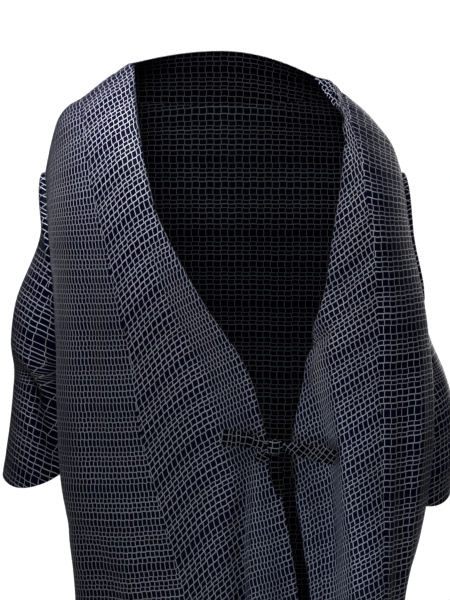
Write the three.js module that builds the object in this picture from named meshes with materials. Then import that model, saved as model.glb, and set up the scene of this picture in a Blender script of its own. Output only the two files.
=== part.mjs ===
// Kimono raincoat, worn open and tied once at the front. Millimetres, +Z up, the front faces -Y,
// the wearer's left is +X. The origin lies midway between the two points where the coat rests
// on the shoulders beside the neck.
//
// Each side of the coat is one surface, bodyPoint(side, station, row). Stations run round a level
// section of the side, from the true edge of the front panel to the centre of the back. Rows run
// down from the shoulder line to the hem. Every sewn piece is a stretch of stations and rows of that
// surface, given a wall, so that neighbours meet along the same seam line.
import * as THREE from "three";

const WALL = 2;
const SEAM_GAP = 0.3;
const SLEEVE_BACK = 0.45;
const HEM_Z = -1285;
const SHOULDER_ROUND = 100;    // height over which the cloth rolls over the shoulder
const SHOULDER_DROP_Z = -125;  // top of the armhole
const ARMHOLE_END_Z = -350;    // bottom of the armhole
const WAIST_END_Z = -600;
const COLLAR_SEAM = { depth: 106, z: -50 };
const COLLAR_EDGE = { depth: 72, z: 12 };
const COLLAR_CROWN = 5;        // how far the band bulges, at the centre of the back
const COLLAR_LEAN = 0.75;      // outward share of the direction in which the collar seam's wall stands
const TURNED_UNDER = { out: 6, down: 1 };    // where the true edge starts, from the edge that shows
const SLIGHT = 0.02;           // a short step in stations or rows, for directions

// Rows of the grid, from the top down.
const ROWS = { shoulder: 4, armhole: 3, waist: 5, skirt: 6 };
const ROW_SHOULDER = ROWS.shoulder;
const ROW_ARMHOLE = ROW_SHOULDER + ROWS.armhole;
const ROW_WAIST = ROW_ARMHOLE + ROWS.waist;
const ROW_HEM = ROW_WAIST + ROWS.skirt;

// Stations: the lines that shape a side, in the order they come round it.
const TURN = 0, EDGE = 1, SEAM = 2, CORNER = 3, TUCK = 4;
const SIDE = 5, BACK_CORNER = 6, BLADE = 7, CENTRE = 8;
const COLLAR_STATION = 6.5;    // where the collar seam leaves the shoulder line

// Level sections of the front opening, [x, y] at each height. turn: true edge of the cloth,
// edge: the front fold that shows, seam: seam between front panel and body.
const RIGHT_OPENING = [
  { z: 0, turn: [-98, -41], edge: [-103, -45], seam: [-160, -60] },
  { z: -45, turn: [-92, -56], edge: [-96, -66], seam: [-154, -68] },
  { z: -90, turn: [-86, -74], edge: [-87, -85], seam: [-147, -75] },
  { z: -125, turn: [-80, -89], edge: [-79, -100], seam: [-142, -80] },
  { z: -190, turn: [-60, -102], edge: [-57, -115], seam: [-128, -95] },
  { z: -260, turn: [-26, -108], edge: [-19, -124], seam: [-112, -106] },
  { z: -330, turn: [20, -115], edge: [27, -133], seam: [-96, -113] },
  { z: -400, turn: [44, -124], edge: [48, -140], seam: [-87, -117] },
  { z: -460, turn: [62, -128], edge: [64, -139], seam: [-72, -120] },
  { z: -600, turn: [83, -120], edge: [85, -131], seam: [-39, -123] },
  { z: -900, turn: [90, -115], edge: [92, -126], seam: [-18, -124] },
  { z: HEM_Z, turn: [95, -113], edge: [97, -124], seam: [-8, -126] },
];
const LEFT_OPENING = [
  { z: 0, turn: [106, 8], edge: [110, -8], seam: [136, -40] },
  { z: -45, turn: [124, -38], edge: [131, -52], seam: [139, -68] },
  { z: -90, turn: [150, -62], edge: [133, -74], seam: [149, -88] },
  { z: -125, turn: [152, -74], edge: [131, -84], seam: [154, -100] },
  { z: -190, turn: [142, -84], edge: [121, -95], seam: [163, -117] },
  { z: -250, turn: [130, -92], edge: [112, -105], seam: [168, -127] },
  { z: -290, turn: [104, -100], edge: [100, -110], seam: [170, -133] },
  { z: -340, turn: [89, -106], edge: [89, -116], seam: [170, -138] },
  { z: -400, turn: [78, -112], edge: [78, -122], seam: [172, -144] },
  { z: -440, turn: [77, -114], edge: [77, -125], seam: [173, -147] },
  { z: -600, turn: [96, -108], edge: [97, -119], seam: [176, -148] },
  { z: -900, turn: [104, -106], edge: [105, -117], seam: [172, -140] },
  { z: HEM_Z, turn: [108, -105], edge: [109, -116], seam: [168, -136] },
];

// The body panel from its front corner to the side. corner: the fold in front of the arm, tuck: how
// the cloth returns behind that fold, side: front of the armhole, then the side seam.
const RIGHT_BODY = [
  { z: -90, corner: [-193, -24], tuck: [-195, -18], side: [-197, -12] },
  { z: -125, corner: [-193, -42], tuck: [-195, -34], side: [-197, -26] },
  { z: -190, corner: [-189, -53], tuck: [-189, -46], side: [-186, -40] },
  { z: -260, corner: [-183, -60], tuck: [-184, -53], side: [-180, -46] },
  { z: -310, corner: [-181, -64], tuck: [-180, -54], side: [-172, -38] },
  { z: ARMHOLE_END_Z, corner: [-181, -67], tuck: [-168, -56], side: [-150, 0] },
  { z: -400, corner: [-180, -70], tuck: [-152, -60], side: [-124, 2] },
  { z: -460, corner: [-177, -72], tuck: [-149, -60], side: [-120, 2] },
  { z: -520, corner: [-168, -72], tuck: [-149, -50], side: [-130, 2] },
  { z: WAIST_END_Z, corner: [-157, -74], tuck: [-153, -40], side: [-146, 0] },
  { z: -900, corner: [-151, -80], tuck: [-156, -42], side: [-153, 0] },
  { z: HEM_Z, corner: [-152, -86], tuck: [-160, -45], side: [-160, 0] },
];
const LEFT_BODY = [
  { z: -90, corner: [199, -24], tuck: [201, -18], side: [203, -12] },
  { z: -125, corner: [202, -40], tuck: [204, -32], side: [203, -24] },
  { z: -190, corner: [209, -48], tuck: [210, -41], side: [206, -35] },
  { z: -260, corner: [223, -59], tuck: [223, -51], side: [218, -44] },
  { z: -310, corner: [230, -64], tuck: [227, -57], side: [206, -36] },
  { z: ARMHOLE_END_Z, corner: [234, -68], tuck: [210, -62], side: [174, 0] },
  { z: -400, corner: [235, -73], tuck: [198, -62], side: [150, 2] },
  { z: -460, corner: [231, -77], tuck: [192, -60], side: [146, 2] },
  { z: -520, corner: [221, -78], tuck: [191, -54], side: [156, 2] },
  { z: WAIST_END_Z, corner: [204, -78], tuck: [196, -42], side: [178, 0] },
  { z: -900, corner: [193, -84], tuck: [194, -42], side: [187, 0] },
  { z: HEM_Z, corner: [190, -90], tuck: [196, -46], side: [192, 0] },
];

// The back of each side. armhole: back of the armhole down to its end, corner: where side turns
// into back, blade: over the shoulder blade.
const RIGHT_BACK = [
  { z: -45, armhole: [-197, 12], corner: [-192, 14], blade: [-96, 92] },
  { z: -90, armhole: [-197, 14], corner: [-192, 30], blade: [-98, 104] },
  { z: -125, armhole: [-197, 26], corner: [-189, 48], blade: [-100, 110] },
  { z: -190, armhole: [-188, 42], corner: [-184, 68], blade: [-98, 118] },
  { z: -260, armhole: [-180, 52], corner: [-176, 82], blade: [-96, 132] },
  { z: -310, armhole: [-172, 44], corner: [-170, 90], blade: [-96, 142] },
  { z: ARMHOLE_END_Z, armhole: [-150, 0], corner: [-166, 92], blade: [-96, 146] },
  { z: -400, armhole: [-124, 2], corner: [-163, 93], blade: [-97, 145] },
  { z: -460, armhole: [-120, 2], corner: [-161, 92], blade: [-98, 138] },
  { z: WAIST_END_Z, armhole: [-146, 0], corner: [-156, 88], blade: [-98, 127] },
  { z: -900, armhole: [-153, 0], corner: [-155, 86], blade: [-98, 123] },
  { z: HEM_Z, armhole: [-160, 0], corner: [-160, 90], blade: [-100, 127] },
];
const LEFT_BACK = [
  { z: -45, armhole: [203, 12], corner: [198, 14], blade: [96, 92] },
  { z: -90, armhole: [203, 14], corner: [198, 30], blade: [98, 104] },
  { z: -125, armhole: [203, 26], corner: [196, 48], blade: [100, 110] },
  { z: -190, armhole: [207, 40], corner: [196, 70], blade: [100, 118] },
  { z: -260, armhole: [217, 50], corner: [200, 86], blade: [100, 132] },
  { z: -310, armhole: [212, 42], corner: [202, 94], blade: [102, 142] },
  { z: ARMHOLE_END_Z, armhole: [174, 0], corner: [200, 96], blade: [104, 146] },
  { z: -400, armhole: [150, 2], corner: [198, 97], blade: [105, 145] },
  { z: -460, armhole: [146, 2], corner: [195, 96], blade: [106, 138] },
  { z: WAIST_END_Z, armhole: [178, 0], corner: [190, 90], blade: [106, 127] },
  { z: -900, armhole: [187, 0], corner: [188, 86], blade: [108, 123] },
  { z: HEM_Z, armhole: [192, 0], corner: [192, 90], blade: [110, 127] },
];
const CENTRE_BACK = [
  { z: -45, line: [0, 106] }, { z: -90, line: [0, 112] }, { z: -125, line: [0, 117] },
  { z: -190, line: [0, 124] }, { z: -260, line: [0, 139] }, { z: -310, line: [0, 150] },
  { z: ARMHOLE_END_Z, line: [0, 154] }, { z: -400, line: [0, 152] }, { z: -460, line: [0, 144] },
  { z: WAIST_END_Z, line: [0, 130] }, { z: -900, line: [0, 126] }, { z: HEM_Z, line: [0, 130] },
];

// The shoulder line seen from the front, from the neck to the top of the armhole.
const RIGHT_SHOULDER = [
  [-102, -4], [-129, -22], [-156, -43], [-170, -51], [-181, -64], [-189, -88], [-197, -125],
];
const LEFT_SHOULDER = [
  [110, -20], [124, -24], [138, -38], [159, -55], [176, -73], [192, -94], [203, -125],
];
// Places on those lists where the lines of the body meet them.
const ON_SHOULDER = { seam: 2, corner: 5.6, backCorner: 5.2, drop: 6 };

// Long soft folds below the arms: station, width in stations, depth (+ outwards), top and drift of
// the fold in stations by the hem.
const FOLDS = [
  { side: "right", at: 1.75, wide: 0.32, deep: -7, from: -430, drift: 0.15 },
  { side: "right", at: 2.45, wide: 0.30, deep: 8, from: -330, drift: 0.05 },
  { side: "right", at: 6.6, wide: 0.35, deep: 9, from: -380, drift: 0.10 },
  { side: "right", at: 7.45, wide: 0.30, deep: -8, from: -420, drift: 0.05 },
  { side: "left", at: 1.45, wide: 0.30, deep: -8, from: -300, drift: 0.10 },
  { side: "left", at: 2.5, wide: 0.30, deep: 7, from: -420, drift: -0.05 },
  { side: "left", at: 6.55, wide: 0.32, deep: 8, from: -400, drift: 0.08 },
  { side: "left", at: 7.5, wide: 0.30, deep: -7, from: -360, drift: 0.05 },
];

// Sleeve sections after the armhole. outer: line that shows from the front, inner: line beside the
// body, [x, z] each, front and back: y of the section. dip: how far the front of the cuff hangs.
const RIGHT_SLEEVE = [
  { outer: [-203, -195], inner: [-160, -368], front: -40, back: 50, dip: 0 },
  { outer: [-232, -272], inner: [-157, -390], front: -46, back: 54, dip: 0 },
  { outer: [-238, -322], inner: [-150, -409], front: -50, back: 53, dip: 0 },
  { outer: [-235, -350], inner: [-145, -424], front: -50, back: 50, dip: 3 },
  { outer: [-239, -402], inner: [-141, -440], front: -52, back: 48, dip: 8 },
  { outer: [-249, -468], inner: [-139, -452], front: -54, back: 46, dip: 14 },
];
const LEFT_SLEEVE = [
  { outer: [208, -190], inner: [192, -358], front: -28, back: 32, dip: 0 },
  { outer: [222, -262], inner: [193, -380], front: -30, back: 34, dip: 0 },
  { outer: [239, -316], inner: [187, -404], front: -37, back: 42, dip: 0 },
  { outer: [256, -356], inner: [178, -428], front: -44, back: 48, dip: 2 },
  { outer: [269, -413], inner: [169, -452], front: -48, back: 50, dip: 6 },
  { outer: [263, -486], inner: [165, -482], front: -52, back: 48, dip: 14 },
];
// The sleeve leaves the armhole outward and a little down. At its top it falls with the shoulder, over
// a stretch of the ring that is shorter the larger topNarrow is.
const SLEEVE_START = { out: 9, drop: 5, topOut: 5, topDrop: 3, topNarrow: 4 };
const SLEEVE_LEAN = 0.3;       // its front and back are fullest toward the outer line
const SLEEVE_RINGS = 10;
const COLLAR_CELLS = 4;        // cells across the collar band
const CUFF_DIP = { mean: 0.55, swing: 0.45, at: 0.9 };    // shape of the dip, at: radians round the cuff

// The tie: flat bands of folded cloth. Each stop has its middle [x, y, z], and the band's half width.
const TIE_THICK = 2.4;
const KNOT = { centre: [58, -148.5, -412], radii: [8.2, 6.6, 9], round: 16, high: 12 };
const TIE_BANDS = {
  tie_loop_right: [
    { middle: [49.4, -150, -410.5], half: 4 },
    { middle: [38, -152, -405], half: 6.5 },
    { middle: [24, -151, -403], half: 8 },
    { middle: [11, -149, -402], half: 8.5 },
    { middle: [1, -148, -400], half: 8.5 },
  ],
  tie_loop_left: [
    { middle: [66.4, -150, -411], half: 4 },
    { middle: [80, -152, -412], half: 7 },
    { middle: [95, -153, -416], half: 8.5 },
    { middle: [110, -153, -420], half: 8.5 },
    { middle: [123, -152, -422], half: 8 },
  ],
  tie_tail_long: [
    { middle: [58, -149, -421.3], half: 5 },
    { middle: [59, -147, -436], half: 7 },
    { middle: [61, -146, -450], half: 6 },
    { middle: [64, -146, -466], half: 3.5 },
  ],
  tie_tail_short: [
    { middle: [50.8, -147.2, -418.6], half: 3.5 },
    { middle: [45, -145.4, -422.5], half: 4.5 },
    { middle: [39, -143.8, -428], half: 4.5 },
  ],
  tie_strap_left: [
    { middle: [65, -144.6, -414], half: 4 },
    { middle: [72, -137.5, -416], half: 6 },
    { middle: [82, -128.5, -417.5], half: 6.5 },
  ],
};

const SIDES = {
  right: { name: "right", out: -1, opening: RIGHT_OPENING, body: RIGHT_BODY, back: RIGHT_BACK,
    shoulder: RIGHT_SHOULDER, sleeve: RIGHT_SLEEVE },
  left: { name: "left", out: 1, opening: LEFT_OPENING, body: LEFT_BODY, back: LEFT_BACK,
    shoulder: LEFT_SHOULDER, sleeve: LEFT_SLEEVE },
};

// Lists of numbers are points and directions.
const mix = (a, b, f) => a + (b - a) * f;
const add = (a, b, f = 1) => a.map((v, i) => v + b[i] * f);
const minus = (a, b) => a.map((v, i) => v - b[i]);
const unit = (a) => {
  const size = Math.hypot(...a);
  return a.map((v) => v / size);
};
const cross = (a, b) => [a[1] * b[2] - a[2] * b[1], a[2] * b[0] - a[0] * b[2], a[0] * b[1] - a[1] * b[0]];
const smooth = (f) => {
  const c = Math.min(1, Math.max(0, f));
  return c * c * (3 - 2 * c);
};

// A smooth curve through four points, between the middle two.
function through(p0, p1, p2, p3, f) {
  const knot = (a, b) => Math.max(1e-6, Math.sqrt(Math.hypot(...minus(b, a))));
  const d01 = knot(p0, p1), d12 = knot(p1, p2), d23 = knot(p2, p3);
  return p1.map((_, i) => {
    const m1 = d12 * ((p1[i] - p0[i]) / d01 - (p2[i] - p0[i]) / (d01 + d12) + (p2[i] - p1[i]) / d12);
    const m2 = d12 * ((p2[i] - p1[i]) / d12 - (p3[i] - p1[i]) / (d12 + d23) + (p3[i] - p2[i]) / d23);
    const f2 = f * f, f3 = f2 * f;
    return (2 * f3 - 3 * f2 + 1) * p1[i] + (f3 - 2 * f2 + f) * m1
      + (3 * f2 - 2 * f3) * p2[i] + (f3 - f2) * m2;
  });
}

function alongList(points, at) {
  const k = Math.min(points.length - 2, Math.max(0, Math.floor(at)));
  const before = points[k - 1] ?? add(points[k], minus(points[k], points[k + 1]));
  const after = points[k + 2] ?? add(points[k + 1], minus(points[k + 1], points[k]));
  return through(before, points[k], points[k + 1], after, at - k);
}

// The named line of a table at height z, smooth from row to row.
function lineAt(table, name, z) {
  const last = table.length - 1;
  let k = 0;
  while (k < last - 1 && z < table[k + 1].z) k += 1;
  const slope = (i, c) => {
    const a = table[Math.max(0, i - 1)], b = table[Math.min(last, i + 1)];
    return (b[name][c] - a[name][c]) / (b.z - a.z);
  };
  const a = table[k], b = table[k + 1], step = b.z - a.z;
  const f = Math.min(1, Math.max(0, (z - a.z) / step)), f2 = f * f, f3 = f2 * f;
  return [0, 1].map((c) => (2 * f3 - 3 * f2 + 1) * a[name][c] + (f3 - 2 * f2 + f) * step * slope(k, c)
    + (3 * f2 - 2 * f3) * b[name][c] + (f3 - f2) * step * slope(k + 1, c));
}

// The side's level section at height z, without its long folds.
function plainSection(side, station, z) {
  const front = [
    lineAt(side.opening, "turn", z), lineAt(side.opening, "edge", z), lineAt(side.opening, "seam", z),
    lineAt(side.body, "corner", z), lineAt(side.body, "tuck", z), lineAt(side.body, "side", z),
  ];
  const blade = lineAt(side.back, "blade", z);
  const seam = z > ARMHOLE_END_Z ? lineAt(side.back, "armhole", z) : front[SIDE];
  const back = [
    seam, lineAt(side.back, "corner", z), blade,
    lineAt(CENTRE_BACK, "line", z), [-blade[0], blade[1]],
  ];
  if (station < SIDE) {
    return alongList([...front, back[1]], station);
  }
  return alongList([front[TUCK], ...back], station - SIDE + 1);
}

function foldDepth(side, station, z) {
  let depth = 0;
  for (const fold of FOLDS) {
    if (fold.side === side.name) {
      const down = (fold.from - z) / (fold.from - HEM_Z);
      const across = (station - fold.at - fold.drift * Math.max(0, down)) / fold.wide;
      if (Math.abs(across) < 1) {
        depth += fold.deep * smooth(down * 4) * (0.5 + 0.5 * Math.cos(Math.PI * across));
      }
    }
  }
  return depth;
}

function sectionPoint(side, station, z) {
  const point = plainSection(side, station, z);
  const depth = foldDepth(side, station, z);
  if (depth === 0) return point;
  const ahead = plainSection(side, Math.min(CENTRE, station + SLIGHT), z);
  const behind = plainSection(side, station - SLIGHT, z);
  const along = unit(minus(ahead, behind));
  return add(point, [-along[1] * side.out, along[0] * side.out], -depth);
}

// The line that a side hangs from: the shoulder line, then the collar seam to the centre of the back.
function topPoint(side, station) {
  const { seam, corner, backCorner, drop } = ON_SHOULDER;
  if (station < EDGE) {
    const [x, z] = side.shoulder[0];
    const under = EDGE - station;
    return [x - side.out * TURNED_UNDER.out * under, 0, z - TURNED_UNDER.down * under];
  }
  if (station < COLLAR_STATION) {
    let at = (station - EDGE) * seam;
    if (station > SEAM) at = mix(seam, corner, station - SEAM);
    if (station > CORNER) at = mix(corner, drop, (station - CORNER) / (SIDE - CORNER));
    if (station > SIDE) at = mix(drop, backCorner, station - SIDE);
    if (station > BACK_CORNER) {
      at = mix(backCorner, seam, (station - BACK_CORNER) / (COLLAR_STATION - BACK_CORNER));
    }
    const [x, z] = alongList(side.shoulder, at);
    return [x, 0, z];
  }
  const turn = (station - COLLAR_STATION) / (CENTRE - COLLAR_STATION) * Math.PI / 2;
  const [x, z] = side.shoulder[seam];
  const height = mix(z, COLLAR_SEAM.z, Math.sin(turn) ** 2);
  return [x * Math.cos(turn), COLLAR_SEAM.depth * Math.sin(turn), height];
}

// Height of a row on the station whose top is at topZ, and how far it has come round the shoulder.
function rowHeight(topZ, row) {
  if (row <= ROW_SHOULDER) {
    const angle = row / ROW_SHOULDER * Math.PI / 2;
    return { z: topZ - SHOULDER_ROUND * (1 - Math.cos(angle)), round: Math.sin(angle) };
  }
  const first = SHOULDER_DROP_Z - SHOULDER_ROUND;
  const share = (z) => (first - z) / (first - HEM_Z);
  let down = mix(0, share(ARMHOLE_END_Z), (row - ROW_SHOULDER) / ROWS.armhole);
  if (row > ROW_ARMHOLE) {
    down = mix(share(ARMHOLE_END_Z), share(WAIST_END_Z), (row - ROW_ARMHOLE) / ROWS.waist);
  }
  if (row > ROW_WAIST) down = mix(share(WAIST_END_Z), 1, (row - ROW_WAIST) / ROWS.skirt);
  return { z: mix(topZ - SHOULDER_ROUND, HEM_Z, down), round: 1 };
}

// half tells the front of the armhole and side seam from the back.
function bodyPoint(side, station, row, half = "back") {
  const at = half === "front" ? Math.min(station, SIDE - 1e-9) : station;
  const top = topPoint(side, at);
  const { z, round } = rowHeight(top[2], row);
  const [x, y] = sectionPoint(side, at, z);
  const [xTop] = sectionPoint(side, at, top[2]);
  return [x + (top[0] - xTop) * (1 - round), mix(top[1], y, round), z];
}

// Outward direction along the shoulder line and collar seam, shared by the pieces that meet there.
function topOut(side, station) {
  if (station >= COLLAR_STATION) {
    const [x, y] = topPoint(side, station);
    const reach = Math.hypot(x, y);
    return unit([x / reach * COLLAR_LEAN, y / reach * COLLAR_LEAN, 1]);
  }
  const low = topPoint(side, Math.max(TURN, station - SLIGHT));
  const high = topPoint(side, Math.min(COLLAR_STATION, station + SLIGHT));
  const along = unit(minus(high, low));
  const up = [-along[2], 0, along[0]];
  return up.map((v) => v * Math.sign(up[2]));
}

// Outward direction of the cloth. Front and back share it along the side seam.
function bodyOut(side, station, row, half) {
  if (row === 0) return topOut(side, station);
  const sewn = station === SIDE && row >= ROW_ARMHOLE;
  const low = half === "back" && !sewn ? SIDE : TURN;
  const high = half === "front" && !sewn ? SIDE - 1e-9 : CENTRE;
  const before = Math.max(low, station - SLIGHT), after = Math.min(high, station + SLIGHT);
  const alongStation = minus(
    bodyPoint(side, after, row, after < SIDE ? "front" : "back"),
    bodyPoint(side, before, row, before < SIDE ? "front" : "back"));
  const alongRow = minus(
    bodyPoint(side, station, Math.min(ROW_HEM, row + SLIGHT), half),
    bodyPoint(side, station, Math.max(0, row - SLIGHT), half));
  return unit(cross(alongRow, alongStation)).map((v) => v * side.out);
}

// A wall of cloth from a grid of { point, out } rows. Closed all round, or joined into a tube.
function clothWall(grid, tube = false) {
  const rows = grid.length, columns = grid[0].length;
  const vertices = [];
  const faces = [];
  const index = (layer, r, c) => (layer * rows + r) * columns + (c % columns);
  for (const layer of [0, 1]) {
    for (const row of grid) {
      for (const { point, out } of row) vertices.push(...add(point, out, -WALL * layer));
    }
  }
  const quad = (a, b, c, d) => faces.push(a, b, c, a, c, d);
  const wide = tube ? columns : columns - 1;
  for (let r = 0; r < rows - 1; r += 1) {
    for (let c = 0; c < wide; c += 1) {
      quad(index(0, r, c), index(0, r + 1, c), index(0, r + 1, c + 1), index(0, r, c + 1));
      quad(index(1, r, c), index(1, r, c + 1), index(1, r + 1, c + 1), index(1, r + 1, c));
    }
  }
  for (let c = 0; c < wide; c += 1) {
    quad(index(0, 0, c), index(0, 0, c + 1), index(1, 0, c + 1), index(1, 0, c));
    const end = rows - 1;
    quad(index(0, end, c), index(1, end, c), index(1, end, c + 1), index(0, end, c + 1));
  }
  if (!tube) {
    for (let r = 0; r < rows - 1; r += 1) {
      quad(index(0, r, 0), index(1, r, 0), index(1, r + 1, 0), index(0, r + 1, 0));
      const end = columns - 1;
      quad(index(0, r, end), index(0, r + 1, end), index(1, r + 1, end), index(1, r, end));
    }
  }
  return solid(vertices, faces);
}

// A closed geometry whose faces point out, whichever way its grid ran.
function solid(vertices, faces) {
  let volume = 0;
  for (let i = 0; i < faces.length; i += 3) {
    const [a, b, c] = [0, 1, 2].map((k) => vertices.slice(faces[i + k] * 3, faces[i + k] * 3 + 3));
    volume += a[0] * cross(b, c)[0] + a[1] * cross(b, c)[1] + a[2] * cross(b, c)[2];
  }
  if (volume < 0) {
    for (let i = 0; i < faces.length; i += 3) [faces[i], faces[i + 1]] = [faces[i + 1], faces[i]];
  }
  const geometry = new THREE.BufferGeometry();
  geometry.setAttribute("position", new THREE.Float32BufferAttribute(vertices, 3));
  geometry.setIndex(faces);
  return geometry;
}

// Draws the grid's sewn borders back, by half the seam gap unless told otherwise.
function seamBack(grid, { first, last, top, bottom }, by = SEAM_GAP / 2) {
  const pull = (a, b) => {
    a.point = add(a.point, unit(minus(b.point, a.point)), by);
  };
  const rows = grid.length, columns = grid[0].length;
  for (const row of grid) {
    if (first) pull(row[0], row[1]);
    if (last) pull(row[columns - 1], row[columns - 2]);
  }
  for (let c = 0; c < columns; c += 1) {
    if (top) pull(grid[0][c], grid[1][c]);
    if (bottom) pull(grid[rows - 1][c], grid[rows - 2][c]);
  }
  return grid;
}

// Stations of a piece, given as [station, columns up to the next one].
function spread(stops, end) {
  const list = [];
  stops.forEach(([from, count], k) => {
    const to = k + 1 < stops.length ? stops[k + 1][0] : end;
    for (let i = 0; i < count; i += 1) list.push(mix(from, to, i / count));
  });
  return [...list, end];
}

// The armhole's edge, round from its top, down the front and up the back. Body and sleeve share the
// direction of the wall there, halfway between the cloth of both.
function armholeRing(side) {
  const ring = [];
  for (let row = 0; row <= ROW_ARMHOLE; row += 1) ring.push({ row, half: "front" });
  for (let row = ROW_ARMHOLE - 1; row > 0; row -= 1) ring.push({ row, half: "back" });
  const count = ring.length;
  const points = ring.map(({ row, half }) => bodyPoint(side, SIDE, row, half));
  const middle = points.reduce((sum, p) => add(sum, p, 1 / count), [0, 0, 0]);
  return ring.map(({ row, half }, k) => {
    const point = points[k];
    const turn = Math.cos(k / count * 2 * Math.PI);
    const atTop = Math.max(0, turn) ** SLEEVE_START.topNarrow;
    const drop = mix(SLEEVE_START.drop * (1 - turn), SLEEVE_START.topDrop, atTop);
    const leaving = [side.out * mix(SLEEVE_START.out, SLEEVE_START.topOut, atTop), 0, -drop];
    const round = minus(points[(k + 1) % count], points[(k + count - 1) % count]);
    const across = unit(cross(round, leaving));
    const outward = minus(point, middle);
    const turned = across[1] * outward[1] + across[2] * outward[2] < 0 ? -1 : 1;
    return { point, leaving, out: unit(add(bodyOut(side, SIDE, row, half), across, turned)) };
  });
}

function bodyGrid(side, stations, half) {
  const armhole = armholeRing(side);
  const grid = [];
  for (let row = 0; row <= ROW_HEM; row += 1) {
    grid.push(stations.map((s) => {
      if (s === SIDE && row <= ROW_ARMHOLE) {
        const { point, out } = armhole[half === "front" ? row : (armhole.length - row) % armhole.length];
        return { point, out };
      }
      return { point: bodyPoint(side, s, row, half), out: bodyOut(side, s, row, half) };
    }));
  }
  return grid;
}

const PANEL_STATIONS = spread([[TURN, 2], [EDGE, 6]], SEAM);
const FRONT_STATIONS = spread([[SEAM, 7], [CORNER, 2], [TUCK, 2]], SIDE);
const BACK_STATIONS = spread([[SIDE, 3], [BACK_CORNER, 3], [COLLAR_STATION, 3], [BLADE, 4]], CENTRE);

function frontPanel(side) {
  return clothWall(seamBack(bodyGrid(side, PANEL_STATIONS, "front"), { last: true, top: true }));
}

function bodyFront(side) {
  const sewn = { first: true, last: true, top: true };
  return clothWall(seamBack(bodyGrid(side, FRONT_STATIONS, "front"), sewn));
}

function bodyBack(side) {
  const sewn = { first: true, last: true, top: true };
  return clothWall(seamBack(bodyGrid(side, BACK_STATIONS, "back"), sewn));
}

// The collar band: its outer edge is the collar seam, its inner edge stands at the neck.
function collar() {
  const arc = BACK_STATIONS.filter((s) => s >= COLLAR_STATION);
  const seam = [
    ...arc.map((s) => topPoint(SIDES.right, s)),
    ...arc.slice(0, -1).reverse().map((s) => topPoint(SIDES.left, s)),
  ];
  const half = arc.length - 1;
  const edge = seam.map((_, k) => {
    const side = k <= half ? SIDES.right : SIDES.left;
    const [x, z] = side.shoulder[0];
    const turn = (k <= half ? k : 2 * half - k) / half * Math.PI / 2;
    const height = mix(z, COLLAR_EDGE.z, Math.sin(turn) ** 2);
    return [x * Math.cos(turn), COLLAR_EDGE.depth * Math.sin(turn), height];
  });
  const across = COLLAR_CELLS;
  const points = [];
  for (let a = 0; a <= across; a += 1) {
    const f = a / across;
    points.push(seam.map((p, k) => {
      const lift = COLLAR_CROWN * Math.sin(Math.PI * f) * p[1] / COLLAR_SEAM.depth;
      return add(edge[k].map((v, i) => mix(v, p[i], f)), [0, 0, lift]);
    }));
  }
  const last = seam.length - 1;
  const grid = points.map((row, a) => row.map((point, k) => {
    const alongBand = minus(row[Math.min(last, k + 1)], row[Math.max(0, k - 1)]);
    const acrossBand = minus(points[Math.min(across, a + 1)][k], points[Math.max(0, a - 1)][k]);
    if (k === 0 || k === last) alongBand.splice(0, 3, 0, k === 0 ? 1 : -1, 0);
    const out = unit(cross(acrossBand, alongBand));
    if (a < across) return { point, out };
    const side = k <= half ? SIDES.right : SIDES.left;
    return { point, out: topOut(side, arc[k <= half ? k : 2 * half - k]) };
  }));
  return clothWall(seamBack(grid, { first: true, last: true, bottom: true }));
}

function sleeveSection(section, count) {
  const ring = [];
  for (let k = 0; k < count; k += 1) {
    const angle = k / count * 2 * Math.PI;
    const outward = (1 + Math.cos(angle)) / 2;
    const side = Math.sin(angle);
    const full = 1 + SLEEVE_LEAN * Math.cos(angle);
    const y = (side > 0 ? section.front : section.back) * Math.abs(side) * full;
    const dip = CUFF_DIP.mean + CUFF_DIP.swing * Math.cos(2 * (angle - CUFF_DIP.at));
    const hang = section.dip * Math.max(0, side) * dip;
    ring.push([
      mix(section.inner[0], section.outer[0], outward), y,
      mix(section.inner[1], section.outer[1], outward) - hang,
    ]);
  }
  return ring;
}

function sleeve(side) {
  const start = armholeRing(side);
  const count = start.length;
  const leaving = start.map((v) => add(v.point, v.leaving));
  const sections = side.sleeve.map((s) => sleeveSection(s, count));
  const keys = [start.map((v) => v.point), leaving, ...sections];
  const points = [];
  for (let r = 0; r <= SLEEVE_RINGS; r += 1) {
    const at = r / SLEEVE_RINGS * (keys.length - 1);
    points.push(start.map((_, k) => alongList(keys.map((ring) => ring[k]), at)));
  }
  const grid = points.map((ring, r) => ring.map((point, k) => {
    if (r === 0) return { point, out: start[k].out };
    const round = minus(ring[(k + 1) % count], ring[(k + count - 1) % count]);
    const down = minus(points[Math.min(SLEEVE_RINGS, r + 1)][k], points[r - 1][k]);
    return { point, out: unit(cross(round, down)).map((v) => v * side.out) };
  }));
  return clothWall(seamBack(grid, { top: true }, SLEEVE_BACK), true);
}

// A flat band through its stops, thick toward the front, with square ends.
function tieBand(stops) {
  const vertices = [];
  const faces = [];
  stops.forEach(({ middle, half }, k) => {
    const before = stops[Math.max(0, k - 1)].middle;
    const after = stops[Math.min(stops.length - 1, k + 1)].middle;
    const along = unit(minus(after, before));
    const across = unit([-along[2], 0, along[0]]);
    const front = unit(cross(along, across)).map((v) => v * TIE_THICK / 2);
    for (const [a, f] of [[-1, -1], [1, -1], [1, 1], [-1, 1]]) {
      vertices.push(...add(add(middle, across, a * half), front, f));
    }
  });
  for (let k = 0; k < stops.length - 1; k += 1) {
    for (let c = 0; c < 4; c += 1) {
      const a = 4 * k + c, b = 4 * k + (c + 1) % 4;
      faces.push(a, b, b + 4, a, b + 4, a + 4);
    }
  }
  const end = 4 * (stops.length - 1);
  faces.push(0, 2, 1, 0, 3, 2, end, end + 1, end + 2, end, end + 2, end + 3);
  return solid(vertices, faces);
}

function knot() {
  const geometry = new THREE.SphereGeometry(1, KNOT.round, KNOT.high);
  geometry.scale(...KNOT.radii);
  geometry.translate(...KNOT.centre);
  return geometry;
}

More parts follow.
